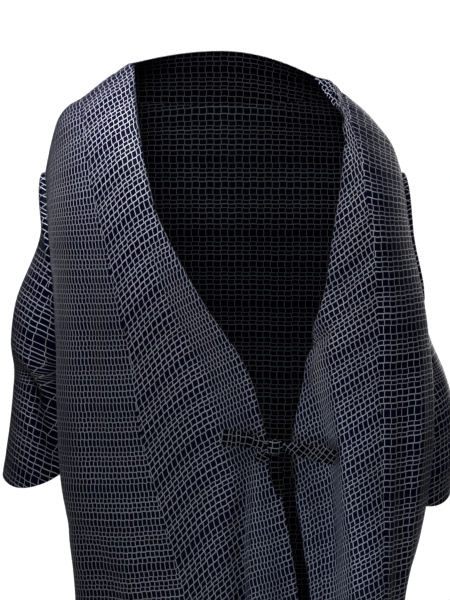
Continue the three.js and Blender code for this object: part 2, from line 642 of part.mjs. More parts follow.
const CLOTH = { roughness: 0.55, metalness: 0 };
const group = new THREE.Group();

function piece(name, geometry, color) {
  const mesh = new THREE.Mesh(geometry, new THREE.MeshStandardMaterial({ color, ...CLOTH }));
  mesh.name = name;
  group.add(mesh);
}

for (const side of Object.values(SIDES)) {
  piece(`front_panel_${side.name}`, frontPanel(side), 0x232a55);
  piece(`body_front_${side.name}`, bodyFront(side), 0x20264c);
  piece(`body_back_${side.name}`, bodyBack(side), 0x1e2448);
  piece(`sleeve_${side.name}`, sleeve(side), 0x1c2145);
}
piece("collar", collar(), 0x232a55);
piece("tie_knot", knot(), 0x1a1f42);
for (const [name, stops] of Object.entries(TIE_BANDS)) {
  piece(name, tieBand(stops), 0x1a1f42);
}

export default group;
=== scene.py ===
"""Kimono raincoat in checked navy satin: the cloth as it shows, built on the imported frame.

Each side of the coat is one surface. Stations run round a level section of the side, from the true
edge of the front panel to the centre of the back. Rows run down from the shoulder line to the hem.
The tables and lengths are in millimetres, as in the part, and the meshes are made in metres.
"""
import math

import bpy
import numpy as np
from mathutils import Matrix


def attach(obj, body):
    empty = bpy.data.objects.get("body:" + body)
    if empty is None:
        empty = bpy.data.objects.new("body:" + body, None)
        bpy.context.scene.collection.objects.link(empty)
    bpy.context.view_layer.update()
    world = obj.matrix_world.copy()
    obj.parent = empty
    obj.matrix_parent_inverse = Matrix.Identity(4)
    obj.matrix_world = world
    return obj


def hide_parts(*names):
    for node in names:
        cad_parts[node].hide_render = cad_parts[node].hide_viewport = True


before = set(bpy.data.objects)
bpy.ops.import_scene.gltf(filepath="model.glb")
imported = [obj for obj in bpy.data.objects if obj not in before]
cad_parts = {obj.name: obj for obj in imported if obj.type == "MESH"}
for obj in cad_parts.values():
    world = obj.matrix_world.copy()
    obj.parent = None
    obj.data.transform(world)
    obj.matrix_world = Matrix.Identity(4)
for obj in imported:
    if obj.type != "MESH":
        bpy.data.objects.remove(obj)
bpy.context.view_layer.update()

MM = 0.001
CLOTH = 0.9                    # thickness of the shell, for satin doubled at its hems
SEAM_GAP = 0.01
SEAM_LOOK = {"deep": 1.1, "pucker": 0.35, "stitch": 0.7, "hem": 18}

HEM_Z = -1285
SHOULDER_ROUND = 100
SHOULDER_DROP_Z = -125
ARMHOLE_END_Z = -350
WAIST_END_Z = -600
COLLAR_SEAM = {"depth": 106, "z": -50}
COLLAR_EDGE = {"depth": 72, "z": 12}
COLLAR_CROWN = 5
TURNED_IN = 6

ROW_SHOULDER, ROW_ARMHOLE, ROW_WAIST, ROW_HEM = 4, 7, 12, 18
TURN, EDGE, SEAM, CORNER, TUCK, SIDE, BACK_CORNER, BLADE, CENTRE = range(9)
COLLAR_STATION = 6.5
ALMOST_SIDE = SIDE - 1e-9
NEAR = 0.02    # stations either way, for a direction

# Level sections of the front opening: z, then x and y of the turn, the edge and the seam.
RIGHT_OPENING = [
    (0, -98, -41, -103, -45, -160, -60),
    (-45, -92, -56, -96, -66, -154, -68),
    (-90, -86, -74, -87, -85, -147, -75),
    (-125, -80, -89, -79, -100, -142, -80),
    (-190, -60, -102, -57, -115, -128, -95),
    (-260, -26, -108, -19, -124, -112, -106),
    (-330, 20, -115, 27, -133, -96, -113),
    (-400, 44, -124, 48, -140, -87, -117),
    (-460, 62, -128, 64, -139, -72, -120),
    (-600, 83, -120, 85, -131, -39, -123),
    (-900, 90, -115, 92, -126, -18, -124),
    (HEM_Z, 95, -113, 97, -124, -8, -126),
]
LEFT_OPENING = [
    (0, 106, 8, 110, -8, 136, -40),
    (-45, 124, -38, 131, -52, 139, -68),
    (-90, 150, -62, 133, -74, 149, -88),
    (-125, 152, -74, 131, -84, 154, -100),
    (-190, 142, -84, 121, -95, 163, -117),
    (-250, 130, -92, 112, -105, 168, -127),
    (-290, 104, -100, 100, -110, 170, -133),
    (-340, 89, -106, 89, -116, 170, -138),
    (-400, 78, -112, 78, -122, 172, -144),
    (-440, 77, -114, 77, -125, 173, -147),
    (-600, 96, -108, 97, -119, 176, -148),
    (-900, 104, -106, 105, -117, 172, -140),
    (HEM_Z, 108, -105, 109, -116, 168, -136),
]
# The body panel from its front corner to the side: z, then x and y of corner, tuck and side.
RIGHT_BODY = [
    (-90, -193, -24, -195, -18, -197, -12),
    (-125, -193, -42, -195, -34, -197, -26),
    (-190, -189, -53, -189, -46, -186, -40),
    (-260, -183, -60, -184, -53, -180, -46),
    (-310, -181, -64, -180, -54, -172, -38),
    (ARMHOLE_END_Z, -181, -67, -168, -56, -150, 0),
    (-400, -180, -70, -152, -60, -124, 2),
    (-460, -177, -72, -149, -60, -120, 2),
    (-520, -168, -72, -149, -50, -130, 2),
    (WAIST_END_Z, -157, -74, -153, -40, -146, 0),
    (-900, -151, -80, -156, -42, -153, 0),
    (HEM_Z, -152, -86, -160, -45, -160, 0),
]
LEFT_BODY = [
    (-90, 199, -24, 201, -18, 203, -12),
    (-125, 202, -40, 204, -32, 203, -24),
    (-190, 209, -48, 210, -41, 206, -35),
    (-260, 223, -59, 223, -51, 218, -44),
    (-310, 230, -64, 227, -57, 206, -36),
    (ARMHOLE_END_Z, 234, -68, 210, -62, 174, 0),
    (-400, 235, -73, 198, -62, 150, 2),
    (-460, 231, -77, 192, -60, 146, 2),
    (-520, 221, -78, 191, -54, 156, 2),
    (WAIST_END_Z, 204, -78, 196, -42, 178, 0),
    (-900, 193, -84, 194, -42, 187, 0),
    (HEM_Z, 190, -90, 196, -46, 192, 0),
]
# The back of each side: z, then x and y of armhole, corner and blade.
RIGHT_BACK = [
    (-45, -197, 12, -192, 14, -96, 92),
    (-90, -197, 14, -192, 30, -98, 104),
    (-125, -197, 26, -189, 48, -100, 110),
    (-190, -188, 42, -184, 68, -98, 118),
    (-260, -180, 52, -176, 82, -96, 132),
    (-310, -172, 44, -170, 90, -96, 142),
    (ARMHOLE_END_Z, -150, 0, -166, 92, -96, 146),
    (-400, -124, 2, -163, 93, -97, 145),
    (-460, -120, 2, -161, 92, -98, 138),
    (WAIST_END_Z, -146, 0, -156, 88, -98, 127),
    (-900, -153, 0, -155, 86, -98, 123),
    (HEM_Z, -160, 0, -160, 90, -100, 127),
]
LEFT_BACK = [
    (-45, 203, 12, 198, 14, 96, 92),
    (-90, 203, 14, 198, 30, 98, 104),
    (-125, 203, 26, 196, 48, 100, 110),
    (-190, 207, 40, 196, 70, 100, 118),
    (-260, 217, 50, 200, 86, 100, 132),
    (-310, 212, 42, 202, 94, 102, 142),
    (ARMHOLE_END_Z, 174, 0, 200, 96, 104, 146),
    (-400, 150, 2, 198, 97, 105, 145),
    (-460, 146, 2, 195, 96, 106, 138),
    (WAIST_END_Z, 178, 0, 190, 90, 106, 127),
    (-900, 187, 0, 188, 86, 108, 123),
    (HEM_Z, 192, 0, 192, 90, 110, 127),
]
CENTRE_BACK = [
    (-45, 0, 106), (-90, 0, 112), (-125, 0, 117), (-190, 0, 124), (-260, 0, 139),
    (-310, 0, 150), (ARMHOLE_END_Z, 0, 154), (-400, 0, 152), (-460, 0, 144),
    (WAIST_END_Z, 0, 130), (-900, 0, 126), (HEM_Z, 0, 130),
]
# The shoulder line seen from the front, from the neck to the top of the armhole: x, z.
RIGHT_SHOULDER = [(-102, -4), (-129, -22), (-156, -43), (-170, -51), (-181, -64), (-189, -88),
                  (-197, -125)]
LEFT_SHOULDER = [(110, -20), (124, -24), (138, -38), (159, -55), (176, -73), (192, -94),
                 (203, -125)]
# The stop of that line that each station hangs from.
ON_SHOULDER = {EDGE: 0, SEAM: 2, CORNER: 5.6, SIDE: 6, BACK_CORNER: 5.2, COLLAR_STATION: 2}

# Long soft folds below the arms: station, width in stations, depth, top, drift by the hem.
FOLDS = {
    "right": [
        (1.75, 0.32, -7, -430, 0.15), (2.45, 0.30, 8, -330, 0.05),
        (6.6, 0.35, 9, -380, 0.10), (7.45, 0.30, -8, -420, 0.05),
    ],
    "left": [
        (1.45, 0.30, -8, -300, 0.10), (2.5, 0.30, 7, -420, -0.05),
        (6.55, 0.32, 8, -400, 0.08), (7.5, 0.30, -7, -360, 0.05),
    ],
}
# Sleeve sections after the armhole: outer (x, z), inner (x, z), front y, back y, dip of the cuff.
RIGHT_SLEEVE = [
    ((-203, -195), (-160, -368), -40, 50, 0),
    ((-232, -272), (-157, -390), -46, 54, 0),
    ((-238, -322), (-150, -409), -50, 53, 0),
    ((-235, -350), (-145, -424), -50, 50, 3),
    ((-239, -402), (-141, -440), -52, 48, 8),
    ((-249, -468), (-139, -452), -54, 46, 14),
]
LEFT_SLEEVE = [
    ((208, -190), (192, -358), -28, 32, 0),
    ((222, -262), (193, -380), -30, 34, 0),
    ((239, -316), (187, -404), -37, 42, 0),
    ((256, -356), (178, -428), -44, 48, 2),
    ((269, -413), (169, -452), -48, 50, 6),
    ((263, -486), (165, -482), -52, 48, 14),
]
# The sleeve leaves the armhole outward and a little down, and at its top it falls with the shoulder.
SLEEVE_START = {"out": 9, "drop": 5, "top_out": 5, "top_drop": 3}
SLEEVE_LEAN = 0.3

SIDES = {
    "right": {"name": "right", "out": -1, "opening": RIGHT_OPENING, "body": RIGHT_BODY,
              "back": RIGHT_BACK, "shoulder": RIGHT_SHOULDER, "sleeve": RIGHT_SLEEVE},
    "left": {"name": "left", "out": 1, "opening": LEFT_OPENING, "body": LEFT_BODY,
             "back": LEFT_BACK, "shoulder": LEFT_SHOULDER, "sleeve": LEFT_SLEEVE},
}

# Creases of the front, the back and the sleeves, drawn as seen from the front: how wide they are on
# the left and on the right of their line, how deep they go in (a ridge below 0), and the line's
# points (x, z).
CREASES = {}
CREASES["front_right"] = [
    (9, 16, -4, (-166, -105), (-165, -250), (-162, -440), (-150, -700), (-150, -1240)),
    (8, 12, 3.5, (-140, -150), (-143, -290), (-137, -440), (-128, -620)),
    (9, 12, -6, (-99, -420), (-97, -560), (-92, -800), (-96, -1250)),
    (9, 10, 4, (-118, -470), (-117, -620), (-112, -900), (-118, -1240)),
    (11, 6, 16, (36, -412), (30, -440), (24, -490), (22, -560), (34, -700)),
    (9, 14, 3, (2, -425), (-14, -462), (-38, -520), (-56, -600)),
    (10, 8, -4, (50, -470), (54, -560), (60, -760), (58, -1200)),
    (14, 20, 6, (-20, -640), (-4, -800), (6, -1000), (4, -1260)),
    (10, 16, 2.5, (-50, -100), (-66, -150), (-88, -230)),
    (10, 14, 3, (-176, -500), (-140, -540), (-112, -600)),
]
CREASES["front_left"] = [
    (7, 12, 6, (158, -178), (146, -215), (134, -240), (128, -290)),
    (8, 9, 2.5, (170, -230), (160, -270), (152, -330), (150, -400)),
    (4, 6, 6, (118, -286), (108, -298), (97, -306), (91, -314)),
    (5, 8, -5, (120, -302), (108, -318), (101, -338), (99, -366)),
    (10, 12, 6, (196, -330), (198, -430), (194, -560), (186, -800), (184, -1240)),
    (8, 8, -4, (214, -300), (216, -400), (212, -500)),
    (8, 10, 3, (84, -424), (98, -450), (106, -500)),
    (12, 16, 6, (126, -640), (134, -800), (142, -1000), (146, -1260)),
    (4, 4, 4, (120, -34), (132, -52)),
    (4, 5, 3, (128, -28), (142, -50)),
    (5, 5, 4, (122, -56), (136, -72)),
    (6, 6, 3, (128, -80), (146, -104)),
]
CREASES["back_right"] = [
    (14, 20, 4, (-60, -110), (-74, -220), (-70, -360), (-58, -520)),
    (10, 14, 6, (-150, -330), (-120, -420), (-80, -500)),
    (14, 18, 8, (-118, -480), (-122, -700), (-116, -1000), (-120, -1260)),
    (16, 16, -6, (-72, -560), (-66, -760), (-74, -1000), (-70, -1260)),
    (12, 18, 6, (-30, -420), (-26, -620), (-34, -900), (-28, -1250)),
    (12, 14, 3, (-120, -100), (-150, -170), (-164, -250)),
]
CREASES["back_left"] = [
    (18, 14, 4, (58, -120), (70, -240), (72, -380), (60, -540)),
    (12, 12, 6, (176, -330), (140, -410), (92, -500)),
    (16, 14, 8, (150, -480), (146, -700), (154, -1000), (148, -1260)),
    (18, 14, -6, (92, -540), (98, -760), (90, -1000), (96, -1260)),
    (16, 12, 6, (40, -440), (46, -660), (38, -900), (44, -1250)),
    (14, 12, 3, (128, -100), (154, -170), (172, -250)),
]
CREASES["sleeve_right_front"] = [
    (10, 6, 18, (-240, -330), (-222, -346), (-207, -366), (-196, -402), (-184, -436), (-178, -462)),
    (5, 7, 3, (-240, -352), (-226, -366), (-216, -392)),
    (8, 8, 3.5, (-206, -240), (-220, -280), (-232, -306)),
    (6, 6, -3, (-198, -300), (-196, -336), (-190, -372)),
]
CREASES["sleeve_right_back"] = [
    (7, 9, 7, (-236, -336), (-214, -350), (-192, -380), (-176, -420)),
    (9, 8, 4, (-226, -250), (-206, -290), (-186, -330)),
    (8, 7, 3, (-232, -400), (-214, -420), (-196, -450)),
]
CREASES["sleeve_left_front"] = [
    (7, 9, 6, (252, -340), (232, -372), (214, -410), (204, -440)),
    (7, 7, 3, (224, -262), (236, -300), (244, -330)),
    (7, 7, 3, (262, -420), (244, -440), (232, -470)),
]
CREASES["sleeve_left_back"] = [
    (9, 7, 7, (252, -350), (230, -376), (208, -410), (196, -440)),
    (8, 8, 4, (222, -256), (214, -300), (204, -340)),
    (7, 8, 3, (262, -420), (242, -446), (222, -470)),
]
# Steps: how wide they are, how far they reach, how deep they are, and the line's points.
STEPS = {"front_left": [
    (8, 34, 9, (104, -318), (111, -362), (119, -400), (124, -440), (126, -520), (124, -640)),
]}

# Grid lines between the main ones, about 5 mm apart.
ROW_STOPS = [(0, 30), (ROW_SHOULDER, 26), (ROW_ARMHOLE, 52), (ROW_WAIST, 136)]
FRONT_STOPS = [(TURN, 6), (EDGE, 30), (SEAM, 28), (CORNER, 6), (TUCK, 14)]
BACK_STOPS = [(SIDE, 22), (BACK_CORNER, 9), (COLLAR_STATION, 12), (BLADE, 24)]
SLEEVE_STOPS = [(0, 4), (1, 60)]
SLEEVE_ROUND = 96
COLLAR_ROWS = 12

# The check: columns COLUMN apart, and rows whose gaps repeat as in ROW_GAPS.
COLUMN = 8.7
ROW_GAPS = [7.0, 6.6, 6.2, 9.4, 6.4, 5.2, 5.6, 4.8, 8.4, 7.8, 6.4, 4.6, 4.8, 6.0]
ROW_REPEAT = sum(ROW_GAPS)
LINE = 0.8
# How far threads shift where they cross: columns in widths of half a line, rows in repeats.
SHIFT = {"column": 3.0, "row": 0.008}
# Rows fade as the columns' lines widen: half a line's width in columns from and to, share from and to.
BROKEN_ROWS = (0.065, 0.08, 1.0, 0.4)
# Ribs to a column and twills to a repeat, and how high the two and the slubs stand beside the lines.
WEAVE = {"ribs": 18, "twills": 190, "high": 0.25, "slubs": 0.6}
# On the sleeves: how much closer columns are above and below the elbow, the share of their lines'
# width (below 1 as painted shade, which dims the sleeves), the weight of depth in their count, the
# rows' slope and their lag below the elbow.
SLEEVE_CHECK = {"closer": (1.45, 1.7), "fine": 0.75, "deep": 1.1, "slope": 26,
                "elbow": 24, "elbow_z": -350}


def mix(a, b, f):
    return a + (b - a) * f


def joined(*parts):
    return np.stack(parts, axis=-1)


def ring_angles(count):
    return 2 * np.pi * np.arange(count) / count


def unit(v):
    return v / np.maximum(np.linalg.norm(v, axis=-1, keepdims=True), 1e-9)


def smooth(f):
    c = np.clip(f, 0, 1)
    return c * c * (3 - 2 * c)


def spread(stops, end):
    """Grid lines of a piece, given as (line, cells up to the next one)."""
    lines = []
    for (start, count), (stop, _) in zip(stops, stops[1:] + [(end, 0)]):
        lines += [mix(start, stop, i / count) for i in range(count)]
    return np.array(lines + [end], float)


def hermite(a, b, slope_a, slope_b, f):
    """From a to b, with these slopes at the two ends."""
    f2, f3 = f * f, f * f * f
    return ((2 * f3 - 3 * f2 + 1) * a + (f3 - 2 * f2 + f) * slope_a
            + (3 * f2 - 2 * f3) * b + (f3 - f2) * slope_b)


def through(p0, p1, p2, p3, f):
    """A smooth curve through four points, between the middle two."""
    def knot(a, b):
        return np.maximum(1e-6, np.sqrt(np.linalg.norm(b - a, axis=-1, keepdims=True)))
    d01, d12, d23 = knot(p0, p1), knot(p1, p2), knot(p2, p3)
    m1 = d12 * ((p1 - p0) / d01 - (p2 - p0) / (d01 + d12) + (p2 - p1) / d12)
    m2 = d12 * ((p2 - p1) / d12 - (p3 - p1) / (d12 + d23) + (p3 - p2) / d23)
    return hermite(p1, p2, m1, m2, f)


def along_list(points, at):
    last = len(points) - 1
    k = min(last - 1, max(0, math.floor(at)))
    before = points[k - 1] if k > 0 else 2 * points[k] - points[k + 1]
    after = points[k + 2] if k + 2 <= last else 2 * points[k + 1] - points[k]
    return through(before, points[k], points[k + 1], after, at - k)


def curve(points, stops):
    points = np.array(points, float)
    return np.stack([along_list(points, at) for at in stops])


def line_at(table, column, z):
    """The first, second or third point of a table's rows at the heights z, smooth from row to row."""
    table = np.array(table, float)
    heights, values = table[:, 0], table[:, 2 * column - 1:2 * column + 1]
    last, row = len(table) - 1, np.arange(len(table))
    before, after = np.maximum(row - 1, 0), np.minimum(row + 1, last)
    slopes = (values[after] - values[before]) / (heights[after] - heights[before])[:, None]
    k = np.clip(np.searchsorted(-heights, -z, side="left") - 1, 0, last - 1)
    step = (heights[k + 1] - heights[k])[:, None]
    f = np.clip((z - heights[k])[:, None] / step, 0, 1)
    return hermite(values[k], values[k + 1], step * slopes[k], step * slopes[k + 1], f)


def plain_section(side, station, z):
    front = [line_at(side[table], c, z) for table in ("opening", "body") for c in (1, 2, 3)]
    armhole, corner, blade = (line_at(side["back"], c, z) for c in (1, 2, 3))
    if station < SIDE:
        return along_list(front + [corner], station)
    seam = np.where((z > ARMHOLE_END_Z)[:, None], armhole, front[SIDE])
    mirrored = blade * np.array([-1, 1])
    return along_list([front[TUCK], seam, corner, blade, line_at(CENTRE_BACK, 1, z), mirrored],
                      station - SIDE + 1)


def fold_depth(side, station, z):
    depth = np.zeros_like(z)
    for at, wide, deep, top, drift in FOLDS[side["name"]]:
        down = (top - z) / (top - HEM_Z)
        across = (station - at - drift * np.maximum(0, down)) / wide
        shape = np.where(np.abs(across) < 1, 0.5 + 0.5 * np.cos(np.pi * across), 0)
        depth += deep * smooth(down * 4) * shape
    return depth


def section_point(side, station, z):
    point = plain_section(side, station, z)
    depth = fold_depth(side, station, z)
    ahead = plain_section(side, min(CENTRE, station + NEAR), z)
    behind = plain_section(side, max(TURN, station - NEAR), z)
    along = unit(ahead - behind)
    out = joined(-along[:, 1], along[:, 0]) * side["out"]
    return point - out * depth[:, None]


def neck_line(side, station, stop, line):
    """A line from a stop of the shoulder line round the neck to the centre of the back."""
    turn = (station - COLLAR_STATION) / (CENTRE - COLLAR_STATION) * math.pi / 2
    x, z = side["shoulder"][stop]
    return np.array([x * math.cos(turn), line["depth"] * math.sin(turn),
                     mix(z, line["z"], math.sin(turn) ** 2)])


def top_point(side, station):
    """The line that a side hangs from: the shoulder line, then the collar seam to the centre back."""
    if station >= COLLAR_STATION:
        return neck_line(side, station, ON_SHOULDER[COLLAR_STATION], COLLAR_SEAM)
    shoulder = np.array(side["shoulder"], float)
    x, z = along_list(shoulder, np.interp(station, list(ON_SHOULDER), list(ON_SHOULDER.values())))
    turned = max(0, EDGE - station)
    return np.array([x - side["out"] * TURNED_IN * turned, 0, z - turned])


def top_out(side, station):
    if station >= COLLAR_STATION:
        x, y, _ = top_point(side, station)
        reach = math.hypot(x, y)
        return unit(np.array([x / reach * 0.75, y / reach * 0.75, 1]))
    along = unit(top_point(side, min(COLLAR_STATION, station + NEAR))
                 - top_point(side, max(TURN, station - NEAR)))
    up = np.array([-along[2], 0, along[0]])
    return up * np.sign(up[2])


def row_height(top_z, rows):
    angle = np.clip(rows / ROW_SHOULDER, 0, 1) * math.pi / 2
    first = SHOULDER_DROP_Z - SHOULDER_ROUND
    total = first - HEM_Z
    down = np.interp(rows, [ROW_SHOULDER, ROW_ARMHOLE, ROW_WAIST, ROW_HEM],
                     [0, (first - ARMHOLE_END_Z) / total, (first - WAIST_END_Z) / total, 1])
    z = np.where(rows <= ROW_SHOULDER, top_z - SHOULDER_ROUND * (1 - np.cos(angle)),
                 mix(top_z - SHOULDER_ROUND, HEM_Z, down))
    return z, np.sin(angle)


def body_column(side, station, rows, half):
    at = min(station, ALMOST_SIDE) if half == "front" else station
    top = top_point(side, at)
    z, round_ = row_height(top[2], rows)
    xy = section_point(side, at, z)
    x_top = section_point(side, at, np.array([top[2]]))[0, 0]
    return joined(xy[:, 0] + (top[0] - x_top) * (1 - round_), mix(top[1], xy[:, 1], round_), z)


def from_line(x, z, points):
    """Distance from a drawn line, below 0 on its left, and the share of its length that is behind."""
    parts = len(points) - 1
    line = curve(points, np.linspace(0, parts, 8 * parts + 1))
    length = lengths(line, 0)
    nearest = np.full(x.shape, 1e9)
    signed, behind = np.zeros(x.shape), np.zeros(x.shape)
    for k in range(len(line) - 1):
        a, step = line[k], line[k + 1] - line[k]
        f = np.clip(((x - a[0]) * step[0] + (z - a[1]) * step[1]) / (step @ step), 0, 1)
        dx, dz = x - a[0] - f * step[0], z - a[1] - f * step[1]
        away = np.hypot(dx, dz)
        left = np.sign(step[0] * dz - step[1] * dx)
        closer = away < nearest
        nearest = np.where(closer, away, nearest)
        signed = np.where(closer, away * left, signed)
        behind = np.where(closer, (length[k] + f * (length[k + 1] - length[k])) / length[-1], behind)
    return signed, behind


def crease_depth(place, points):
    """How far the drawn creases take each point of a grid in."""
    x, z = points[..., 0], points[..., 2]
    depth = np.zeros(x.shape)
    for wide_left, wide_right, deep, *line in CREASES[place]:
        away, behind = from_line(x, z, line)
        wide = np.where(away > 0, wide_right, wide_left)
        fade = np.sin(np.pi * np.clip(behind, 0.04, 0.96)) ** 0.6
        depth += deep * fade * np.exp(-(away / wide) ** 2)
    for wide, reach, deep, *line in STEPS.get(place, []):
        away, behind = from_line(x, z, line)
        fade = np.sin(np.pi * np.clip(behind, 0.02, 0.98)) ** 0.7
        depth -= deep * fade * np.tanh(away / wide) * np.exp(-(away / reach) ** 2)
    return depth


def lengths(points, axis):
    """Running length along one way of a grid, from its first line."""
    step = np.linalg.norm(np.diff(points, axis=axis), axis=-1)
    start = np.zeros_like(np.take(step, [0], axis=axis))
    return np.concatenate([start, np.cumsum(step, axis=axis)], axis=axis)


class Half:
    """The front or back of one side, from the shoulder line to the hem."""

    def __init__(self, side, name, stations, rows):
        self.side, self.name, self.stations, self.rows = side, name, stations, rows
        self.points = np.stack([body_column(side, s, rows, name) for s in stations], axis=1)
        self.out = self.outward()
        self.points -= self.out * (self.creases() + self.seams())[..., None]
        self.out = self.outward()
        self.across = lengths(self.points, 1)
        down = lengths(self.points, 0)
        fall = np.searchsorted(rows, ROW_SHOULDER)
        self.down = down - down[fall] - self.points[fall, :, 2]

    def outward(self):
        along_row = np.gradient(self.points, axis=0)
        along_station = np.gradient(self.points, axis=1)
        out = unit(np.cross(along_row, along_station)) * self.side["out"]
        out[0] = [top_out(self.side, s) for s in self.stations]
        return out

    def creases(self):
        """Creases die out at the shoulder line, the side and the centre of the back."""
        depth = crease_depth(self.name + "_" + self.side["name"], self.points)
        keep = smooth(np.abs(self.stations - SIDE) / 0.5) * smooth((CENTRE - self.stations) / 0.3)
        return depth * keep[None] * smooth(self.rows / 0.6)[:, None]

    def seams(self):
        """The front seam lies a little deeper and puckers, and hem and edge are stitched down."""
        reach, down, depth = lengths(self.points, 1), lengths(self.points, 0), 0
        if self.name == "front":
            seam = np.abs(reach - reach[:, [self.at(SEAM)]])
            pucker = np.sin(down / 5.1) + 0.7 * np.sin(down / 8.3 + 1.7)
            depth += SEAM_LOOK["deep"] * np.exp(-(seam / 2.5) ** 2)
            depth += SEAM_LOOK["pucker"] * pucker * np.exp(-(seam / 7) ** 2) * np.clip(seam / 3, 0.2, 1)
            turned = np.abs(reach - reach[:, [self.at(EDGE)]] - SEAM_LOOK["hem"])
            depth += SEAM_LOOK["stitch"] * np.exp(-(turned / 2.5) ** 2)
        hem = down[-1:] - down - SEAM_LOOK["hem"]
        return depth + SEAM_LOOK["stitch"] * np.exp(-(hem / 3) ** 2)

    def at(self, station):
        return int(np.argmin(np.abs(self.stations - station)))


def armhole_row(half):
    return int(np.searchsorted(half.rows, ROW_ARMHOLE))


def build_halves(side):
    rows = spread(ROW_STOPS, ROW_HEM)
    front = Half(side, "front", spread(FRONT_STOPS, SIDE), rows)
    back = Half(side, "back", spread(BACK_STOPS, CENTRE), rows)
    # Front and back share their direction along the side seam, and the back is square at its centre.
    low = armhole_row(front)
    shared = unit(front.out[low:, -1] + back.out[low:, 0])
    front.out[low:, -1] = back.out[low:, 0] = shared
    back.out[:, -1, 0] = 0
    back.out[:, -1] = unit(back.out[:, -1])
    return front, back


def armhole_ring(front, back):
    """The armhole's edge from its top, down the front and up the back, with the shared direction."""
    low = armhole_row(front)
    points = np.concatenate([front.points[:low + 1, -1], back.points[low - 1:0:-1, 0]])
    outs = np.concatenate([front.out[:low + 1, -1], back.out[low - 1:0:-1, 0]])
    up = np.cos(ring_angles(len(points)))
    at_top = np.maximum(0, up) ** 4
    drop = mix(SLEEVE_START["drop"] * (1 - up), SLEEVE_START["top_drop"], at_top)
    out_by = mix(SLEEVE_START["out"], SLEEVE_START["top_out"], at_top)
    leaving = joined(front.side["out"] * out_by, 0 * up, -drop)
    round_ = np.roll(points, -1, axis=0) - np.roll(points, 1, axis=0)
    across = unit(np.cross(round_, leaving))
    outward = points - points.mean(axis=0)
    turned = np.where((across[:, 1:] * outward[:, 1:]).sum(axis=1) < 0, -1, 1)[:, None]
    out = unit(outs + across * turned)
    front.out[:low + 1, -1] = out[:low + 1]
    back.out[1:low, 0] = out[:low:-1]
    back.out[0, 0] = out[0]
    return points, leaving, out


def sleeve_section(outer, inner, front, back, dip):
    angle = ring_angles(SLEEVE_ROUND)
    outward = (1 + np.cos(angle)) / 2
    side = np.sin(angle)
    full = 1 + SLEEVE_LEAN * np.cos(angle)
    y = np.where(side > 0, front, back) * np.abs(side) * full
    hang = dip * np.maximum(0, side) * (0.55 + 0.45 * np.cos(2 * (angle - 0.9)))
    return joined(mix(inner[0], outer[0], outward), y, mix(inner[1], outer[1], outward) - hang)


def even_ring(ring):
    """The same closed ring with SLEEVE_ROUND even steps, from the same first point."""
    closed = np.concatenate([ring, ring[:1]])
    length = lengths(closed, 0)
    wanted = np.linspace(0, length[-1], SLEEVE_ROUND, endpoint=False)
    return joined(*(np.interp(wanted, length, closed[:, c]) for c in range(3)))


# ---- meshes ----


def grid_faces(rows, columns, tube):
    index = np.arange(rows * columns).reshape(rows, columns)
    if tube:
        index = np.concatenate([index, index[:, :1]], axis=1)
    a, b = index[:-1, :-1].ravel(), index[1:, :-1].ravel()
    c, d = index[1:, 1:].ravel(), index[:-1, 1:].ravel()
    return np.stack([a, b, c, d], axis=1), index


def look_in(points, out):
    """Whether the faces of a grid look away from out, the outward direction at its middle."""
    r, c = points.shape[0] // 2, points.shape[1] // 2
    return np.cross(points[r + 1, c] - points[r, c], points[r, c + 1] - points[r, c]) @ out < 0


def add_object(name, data):
    thing = bpy.data.objects.new(name, data)
    bpy.context.scene.collection.objects.link(thing)
    return thing


def add_piece(name, vertices, faces, uv, values, slot, sharp):
    """One visible piece, with the check's coordinates at its corners and values at its vertices."""
    mesh = bpy.data.meshes.new(name)
    mesh.from_pydata((vertices * MM).tolist(), [], faces)
    mesh.uv_layers.new(name="cloth").uv.foreach_set("vector", uv.astype(np.float32).ravel())
    for key, at_vertex in values.items():
        attribute = mesh.attributes.new(key, "FLOAT", "POINT")
        attribute.data.foreach_set("value", at_vertex.astype(np.float32))
    mesh.polygons.foreach_set("use_smooth", np.ones(len(faces), bool))
    mesh.update()
    mesh.set_sharp_from_angle(angle=math.radians(sharp))
    mesh.materials.append(MATERIALS[slot])
    piece = add_object(name, mesh)
    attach(piece, "root")
    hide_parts(name)


def cloth_piece(name, points, out, u, v, borders, fine=1, tube=False):
    """A closed shell of cloth from a grid of its outer face, drawn back at its sewn borders.

    u counts the columns of the check and v its row repeats. fine narrows the columns' lines.
    """
    uv, line = joined(u, v), fine * line_width(points, u)
    points = sewn(points, borders)
    rows, columns = points.shape[:2]
    faces, index = grid_faces(rows, columns, tube)
    size = rows * columns
    inner = points - out * CLOTH
    vertices = np.concatenate([points.reshape(-1, 3), inner.reshape(-1, 3)])
    rims = [(index[0], False), (index[-1], True)]
    if not tube:
        rims += [(index[:, 0], True), (index[:, -1], False)]
    quads = [faces, faces[:, ::-1] + size]
    for rim, turned in rims:
        a, b = rim[:-1], rim[1:]
        quad = np.stack([a, b, b + size, a + size], axis=1)
        quads.append(quad[:, ::-1] if turned else quad)
    quads = np.concatenate(quads)
    if look_in(points, out[rows // 2, columns // 2]):
        quads = quads[:, ::-1]

    corner_vertex = quads.ravel() % size
    flat = uv.reshape(-1, 2)[corner_vertex]
    if tube:    # the last column of faces runs on instead of back to the start
        column = corner_vertex % columns
        face_has_last = (column.reshape(-1, 4) == columns - 1).any(axis=1)
        wraps = np.repeat(face_has_last, 4) & (column == 0)
        lap = 2 * uv[:, -1] - uv[:, -2] - uv[:, 0]
        flat = flat + wraps[:, None] * lap[corner_vertex // columns]
    # inside is 1 on the inner face of the shell, and the material darkens it there as painted shade.
    values = {"line": np.tile(line.ravel(), 2), "inside": np.repeat([0, 1], size)}
    add_piece(name, vertices, quads.tolist(), flat, values, "coat_satin", 50)


